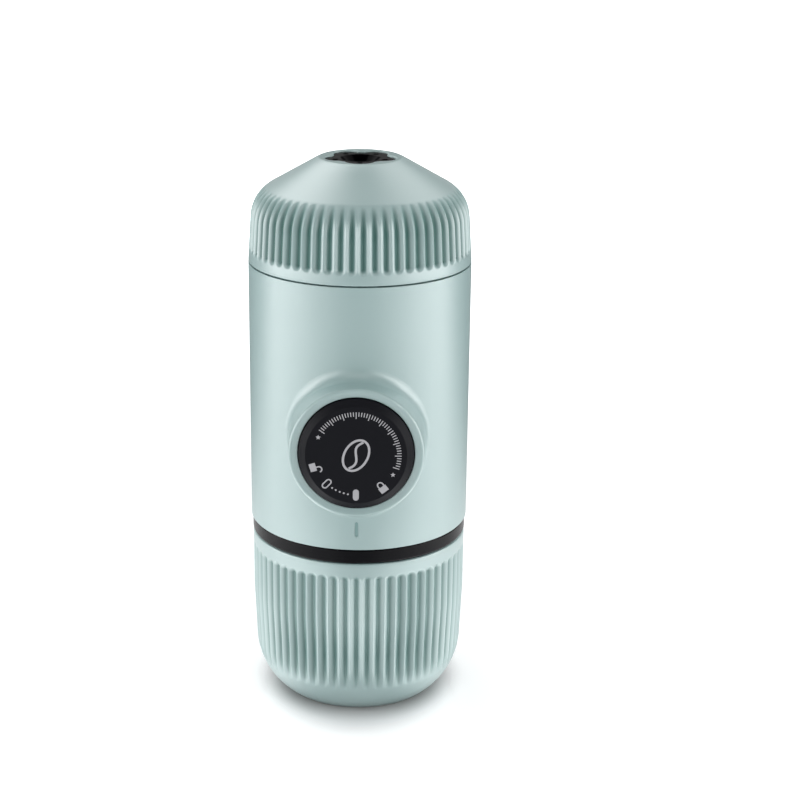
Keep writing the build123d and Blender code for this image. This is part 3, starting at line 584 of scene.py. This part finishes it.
# painted shade: a darker mint for the floor of the engraved mark
painted_mark_shade = moulded("painted_mark_shade", (136, 165, 164), 0.5, 0.002 * mm, specular=0.3)
ink_up = 0.02  # a print stands this far over its face, and starts as far below it


def flat(points, faces):
    """Flat ink from points on the XZ plane in millimetres."""
    mesh = bpy.data.meshes.new("ink")
    mesh.from_pydata([(x * mm, 0, z * mm) for x, z in points], [], faces)
    made = bpy.data.objects.new("ink", mesh)
    bpy.context.scene.collection.objects.link(made)
    return made


def patch(points):
    """A flat patch of ink inside this outline."""
    return flat(points, [range(len(points))])


def around(radius, turn):
    """A place by its distance from the drawing's origin and its angle from +X, in degrees."""
    return radius * cos(radians(turn)), radius * sin(radians(turn))


def slot_loop(radius, turn, half_w, half_h, steps=10):
    """Points round a slot with its long way along the radius."""
    points = []
    for end in (0, 180):
        for k in range(steps + 1):
            round_end = radians(end - 90 + 180 * k / steps)
            out = (half_h - half_w) * cos(radians(end)) + half_w * cos(round_end)
            aside = half_w * sin(round_end)
            x, z = around(radius + out, turn)
            points.append((x - aside * sin(radians(turn)), z + aside * cos(radians(turn))))
    return points


def printed(name, shapes, paint, face_y, middle_z):
    """Joins flat shapes as one print on a face.

    The face stands at face_y, and middle_z is the height of the shapes' own origin.
    """
    bpy.ops.object.select_all(action="DESELECT")
    for shape in shapes:
        shape.select_set(True)
    bpy.context.view_layer.objects.active = shapes[0]
    if len(shapes) > 1:
        bpy.ops.object.join()
    marks = bpy.context.object
    bpy.ops.object.transform_apply(location=True, rotation=True, scale=True)
    bpy.ops.object.mode_set(mode="EDIT")
    bpy.ops.mesh.select_all(action="SELECT")
    bpy.ops.transform.translate(value=(0, (face_y + ink_up) * mm, middle_z * mm))
    bpy.ops.mesh.extrude_region_move(TRANSFORM_OT_translate={"value": (0, -2 * ink_up * mm, 0)})
    close_up(30)
    marks.name = name
    marks.data.materials.append(paint)
    return marks


dress(satin_mint, "body_casing")
# the lock mark's floor gets a patch of painted shade
mark_outline = slot_loop(mark_z, 90, mark_half_w, mark_half_h)
lock_mark_painted_shade = printed("lock_mark_painted_shade", [patch(mark_outline)], painted_mark_shade, mark_floor, 0)
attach(lock_mark_painted_shade, "main_body")

# ------------------------------------------------------- pump chassis and its valves
# The black frame inside the casing, with the pump's cylinder and the valve towers. The
# seats and the plug are acetal, the poppets and the air valve silicone rubber.
black_plastic = moulded("black_moulding", (14, 15, 21), 0.42, 0.003 * mm, specular=0.16)
acetal = moulded("natural_acetal", (214, 212, 204), 0.38, 0.005 * mm)
silicone = moulded("clear_silicone", (196, 200, 202), 0.5, 0.006 * mm)
dress(black_plastic, "pump_chassis", "intake_strainer")
dress(acetal, "inlet_seat", "outlet_seat", "outlet_plug", "pump_liner", "rod_bush")
dress(silicone, "inlet_valve", "outlet_valve", "air_valve")

# ------------------------------------------------------------------ piston and springs
# A steel rod carries the plunger with its two seals. The return spring is wound round
# the pump between the chassis and the button.
button_z = 83.7
wire_sides = 12
coils = 5
tool_gloss = 0.10  # how much the roughness changes with the tool lines
smudge_gloss = 0.16  # and with the smudges


def metal(name, colour, roughness, lines):
    """Turned or drawn metal: fine tool lines along one direction, and smudges of handling."""
    finish = Finish(name)
    tooling = finish.noise(0.35 * mm, 2, lines)
    smudges = finish.noise(7 * mm, 4)
    gloss = roughness + tool_gloss * (tooling - 0.5) + smudge_gloss * (smudges - 0.5)
    height = {"Height": tooling, "Distance": 0.004 * mm, "Strength": 1.0}
    bumps = finish.add("ShaderNodeBump", None, height)
    surface = finish.add(
        "ShaderNodeBsdfPrincipled",
        None,
        {
            "Base Color": finish.mix(tooling, tinted(colour, 0.94), tinted(colour, 1.04)),
            "Metallic": 1.0,
            "Roughness": gloss,
            "Normal": bumps,
        },
    )
    finish.add("ShaderNodeOutputMaterial", None, {"Surface": surface})
    return finish.material


steel = metal("stainless_steel", (168, 169, 172), 0.36, (0.08, 0.08, 1))
spring_steel = metal("spring_steel", (172, 172, 176), 0.32, (1, 1, 1))
dress(steel, "piston_rod", "plunger_nut", "snap_ring")
dress(acetal, "plunger")
dress(rubber, "plunger_seals")


def wound_spring(name, coil_r, wire_r, length):
    """A round wire wound up Z from the origin, with both ends closed."""
    bpy.ops.object.select_all(action="DESELECT")
    bpy.ops.mesh.primitive_circle_add(
        vertices=wire_sides, radius=wire_r * mm, rotation=(pi / 2, 0, 0)
    )
    wire = bpy.context.object
    wire.name = name
    bpy.ops.object.transform_apply(location=False, rotation=True, scale=False)
    bpy.ops.object.mode_set(mode="EDIT")
    bpy.ops.mesh.select_all(action="SELECT")
    bpy.ops.transform.translate(value=(coil_r * mm, 0, wire_r * mm))
    bpy.ops.object.mode_set(mode="OBJECT")
    wind(wire, coils, length - 2 * wire_r, steps=48, smooth=60)
    wire.data.materials.append(spring_steel)
    return wire


spring_back = 4.0
spring_front = -36.8
return_coil_r = 10.6
return_wire_r = 0.65
spring_length = spring_back - spring_front
return_spring = wound_spring("return_coil", return_coil_r, return_wire_r, spring_length)
for vertex in return_spring.data.vertices:
    x, y, z = vertex.co
    vertex.co = (x, spring_back * mm - z, y + button_z * mm)
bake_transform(return_spring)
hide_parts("return_spring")

valve_y = 19
outlet_low = 96.6
outlet_high = 104
outlet_coil_r = 1.9
outlet_wire_r = 0.25
spring_length = outlet_high - outlet_low
outlet_spring = wound_spring("outlet_coil", outlet_coil_r, outlet_wire_r, spring_length)
for vertex in outlet_spring.data.vertices:
    vertex.co.y += valve_y * mm
    vertex.co.z += outlet_low * mm
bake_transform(outlet_spring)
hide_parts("outlet_spring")

# ------------------------------------------------------------------------- pump button
# A black cap on a long sleeve, printed in pale grey with a scale, two stars and a coffee
# bean. Two small padlocks show the open and the locked end of its turn, with five dots
# between the two marks.
button_face = -40.0
ink = moulded("pale_grey_ink", (176, 176, 180), 0.5, 0.002 * mm, specular=0.3)
dress(black_plastic, "button_cap")


def disc(x, z, r):
    """A flat round of ink."""
    middle = (x * mm, 0, z * mm)
    bpy.ops.mesh.primitive_circle_add(
        vertices=20, radius=r * mm, fill_type="NGON", location=middle, rotation=(pi / 2, 0, 0)
    )
    return bpy.context.object


def line(points, width, closed=False):
    """A line of ink of even width along these points."""
    spots = [np.array(p, float) for p in points]
    count = len(spots)
    corners = []
    for k, spot in enumerate(spots):
        before = spots[k - 1] if k or closed else spot
        after = spots[(k + 1) % count] if k < count - 1 or closed else spot
        along = (after - before) / np.linalg.norm(after - before)
        side = np.array((-along[1], along[0])) * width / 2
        corners += [spot - side, spot + side]
    lefts = [2 * k for k in range(count if closed else count - 1)]
    wrap = 2 * count
    return flat(corners, [(k, k + 1, (k + 3) % wrap, (k + 2) % wrap) for k in lefts])


def leaned(a, b, lean, x=0, z=0):
    """The point (a, b) of a small drawing that leans by this angle and stands at (x, z)."""
    tilt = radians(lean)
    return x + a * cos(tilt) - b * sin(tilt), z + a * sin(tilt) + b * cos(tilt)


def star(radius, turn, r):
    """Points round a small five-pointed star."""
    x, z = around(radius, turn)
    notch = 0.45 * r
    tips = [(r if k % 2 == 0 else notch, radians(90 + 36 * k)) for k in range(10)]
    return [(x + reach * cos(a), z + reach * sin(a)) for reach, a in tips]


def padlock(radius, turn, lean, lifted):
    """A small padlock, with its shackle lifted to one side where it is open."""
    middle = around(radius, turn)
    body_low, body_high, body_w = -1.35, 0.35, 2.3
    bow_r, bow_z, foot_z = 0.75, 0.95, 0.3
    # Known fault: where it is lifted, the first two points are the same, so the line starts
    # with points that aren't numbers, and the mesh has stray faces there.
    bow_x, start_z = (0.95, bow_z) if lifted else (0, foot_z)
    bow = [around(bow_r, angle) for angle in range(0, 181, 20)]
    shackle = [(bow_x + bow_r, start_z)] + [(bow_x + x, bow_z + z) for x, z in bow]
    shackle.append((bow_x - bow_r, foot_z))
    body = [leaned(0, z, lean, *middle) for z in (body_low, body_high)]
    return [line(body, body_w), line([leaned(*p, lean, *middle) for p in shackle], thin_line)]


thin_line = 0.36
mark_r = 11.2
lock_r = 11.5
dot_r = 0.26
star_r = 0.72
dot_turns = (-124.5, -118.6, -112.7, -106.8, -100.9)
star_turns = (153.5, -28.5)
filled_mark = slot_loop(mark_r, -90, half_w=0.8, half_h=1.6)
open_mark = slot_loop(mark_r, -134, half_w=0.68, half_h=1.4)
marks = [patch(filled_mark), line(open_mark, thin_line, closed=True)]
marks += [disc(*around(mark_r, turn), dot_r) for turn in dot_turns]
marks += [patch(star(mark_r, turn, star_r)) for turn in star_turns]
marks += padlock(lock_r, turn=-163, lean=-73, lifted=True)
marks += padlock(lock_r, turn=-52, lean=38, lifted=False)

first_tick, last_tick, tick_step = -18, 145, 3.6
tick_out = 12.1
tick_in = 10.9
long_tick_in = 10.3
tick_w = 0.25
for tick, turn in enumerate(np.arange(first_tick, last_tick, tick_step)):
    inner = long_tick_in if tick % 5 == 0 else tick_in
    marks.append(line([around(inner, turn), around(tick_out, turn)], tick_w))

bean_half_h = 4.6
bean_half_w = 3.1
bean_lean = 62
bean_line = 0.62
crease_half_h = 4.2
crease_bow = 0.95
rounds = [2 * pi * k / 40 for k in range(40)]
outline = [(bean_half_h * cos(t), bean_half_w * sin(t)) for t in rounds]
crease = [(crease_half_h * s, crease_bow * sin(pi * s)) for s in (k / 10 for k in range(-10, 11))]
marks.append(line([leaned(*p, bean_lean) for p in outline], bean_line, closed=True))
marks.append(line([leaned(*p, bean_lean) for p in crease], bean_line))
prints = printed("button_print", marks, ink, button_face, button_z)
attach(prints, "button")

# --------------------------------------------------------------------------- brew head
# The black threaded head on top of the chassis, held by three screws. A steel screen
# spreads the water under the coffee.
head_neck_r = 25.5
dress(black_plastic, "brew_head")
dress(steel, "head_screws", "shower_screw", "shower_screen")
dress(silicone, "head_gasket")
thread(
    "head_thread",
    head_neck_r,
    height=0.3,
    low=128.6,
    high=132.6,
    turns=1.5,
    finish=black_plastic,
    body="main_body",
)

# -------------------------------------------------------------------- basket and scoop
# The filter basket is pressed from steel sheet. The black scoop that is stored in it is a
# moulding, and its flat floor tamps the coffee.
dress(steel, "filter_basket")
dress(black_plastic, "coffee_scoop")

# ------------------------------------------------------------- portafilter and outlet
# The black cup under the dome with the coffee's outlet, and the glossy guard and tip
# that show in the dome's mouth.
gloss_black = moulded("gloss_black", (3, 3, 5), 0.12, 0.0004 * mm, specular=0.02)
dress(black_plastic, "portafilter_body")
dress(silicone, "basket_gasket")
dress(gloss_black, "nozzle_guard", "outlet_tip")

# ------------------------------------------------------------------------ outlet dome
# The ribbed cap over the portafilter, a coloured moulding snapped on it. Its ribs fade
# out over the shoulder, and the lip at the top is cut to the guard's five lobes.
dome_ribs = 62
dome_base = 127.45
dome_r = 31
shoulder_z = 140
shoulder_wall_r = 30.2
shoulder_r = 10.2
dome_slope = 28
slope_drift = 3  # the wall leans in by about this, so the shoulder turns that much less
lip_r = 11.6
lip_in = 0.35
lip_round = 0.5
dome_top = 156
dome_rib_low = 130.2
dome_rib_depth = 1.1
fade_bend = 13.2  # wider than the shoulder, so that the grooves fade out over it
fade_z = shoulder_z - 1
edge = 0.4

lobe_count = 5
lobe_r = 4.1
lobe_ring = 5.95
lobe_hub = 8.0
web = 1.6
mouth_row = 9.0  # the mouth is drawn round, at this radius, and then pushed out to its lobes
mouth_bore = 10.2
mouth_wall = 2.0
mouth_low = 150.6
inner_top = 153.5  # the inside: down a cone and a bevel to a step
inner_cone = (23.5, 147.4)
inner_bevel = (27, 143.5)
step_r = 27.4
dome_step = 141.6
dome_bore = 28.2

draft = (dome_r - shoulder_wall_r) / (shoulder_z - dome_base)
draft_angle = degrees(atan2(draft, 1))
shoulder_x = shoulder_wall_r - shoulder_r * cos(radians(draft_angle))
shoulder_mid_z = shoulder_z - shoulder_r * sin(radians(draft_angle))
slope_angle = draft_angle + 90 - dome_slope - slope_drift


def dome_outer(z):
    """The radius of the dome's skin at this height, up to the end of its shoulder."""
    wall = dome_r - draft * (z - dome_base)
    shoulder = shoulder_x + np.sqrt(np.maximum(0, shoulder_r**2 - (z - shoulder_mid_z) ** 2))
    return np.where(z < shoulder_z, wall, shoulder)


def dome_groove_floor(z):
    """The radius of a groove's floor, which bends in later than the shoulder and so fades."""
    wall = dome_r - dome_rib_depth - draft * (z - dome_base)
    bend_x = shoulder_wall_r - dome_rib_depth - fade_bend
    bend = bend_x + np.sqrt(np.maximum(0, fade_bend**2 - (z - fade_z) ** 2))
    return np.where(z < fade_z, wall, bend)


def mouth_r(turn):
    """The radius of the five-lobed mouth in this direction."""
    lobe_step = 2 * pi / lobe_count
    off_lobe = (turn + pi / 2 + lobe_step / 2) % lobe_step - lobe_step / 2
    reach = np.maximum(0, lobe_r**2 - (lobe_ring * np.sin(off_lobe)) ** 2)
    lobe = np.where(reach > 0, lobe_ring * np.cos(off_lobe) + np.sqrt(reach), 0)
    return np.maximum(lobe_hub, lobe)


fine_from = dome_rib_low - 0.2
fine_to = 133
wall_heights = rows(dome_base + edge, fine_from, 1.2)
wall_heights += rows(fine_from, fine_to, 0.2)[1:]
wall_heights += rows(fine_to, shoulder_z, 1.8)[1:-1]
dome_section = arc(dome_r - edge, dome_base + edge, edge, -90, 0, 3)[:-1]
dome_section += [(float(dome_outer(z)), z) for z in wall_heights]
dome_section += arc(shoulder_x, shoulder_mid_z, shoulder_r, draft_angle, slope_angle, 24)
slope_r, slope_z = dome_section[-1]
for share in (0.25, 0.5, 0.75, 0.93):
    spot = (slope_r + (lip_r - slope_r) * share, slope_z + (dome_top - slope_z) * share)
    dome_section.append(spot)
dome_section += arc(lip_r - lip_in, dome_top - lip_round, lip_round, 62, 90, 3)
dome_section += [(mouth_row + 1.8, dome_top)]
dome_section += arc(mouth_row + edge, dome_top - edge, edge, 90, 180, 4)
dome_section += [
    (mouth_row, dome_top - web),
    (mouth_bore, dome_top - web),
    (mouth_bore, mouth_low),
    (mouth_bore + mouth_wall, mouth_low),
    (mouth_bore + mouth_wall, inner_top),
    inner_cone,
    inner_bevel,
    (step_r, dome_step),
    (dome_bore, dome_step),
    (dome_bore, dome_base),
]
dome_section.append(dome_section[0])

dome = fluted(
    "ribbed_dome",
    dome_section,
    dome_ribs,
    crest=0.66,
    roof_share=0.55,
    outer_r=dome_outer,
    floor_r=dome_groove_floor,
    round_end=dome_rib_low,
    downwards=True,
    shade_share=0.95,
)
slack = 0.1
r, turn, z = polar(dome)
in_mouth = (r < mouth_row + edge + slack) & (z > dome_top - web - slack)
r = np.where(in_mouth, mouth_r(turn) + r - mouth_row, r)
put_back(dome, r, turn, z)
dome.data.materials.append(satin_mint)
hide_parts("dome_shell")
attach(dome, "portafilter")
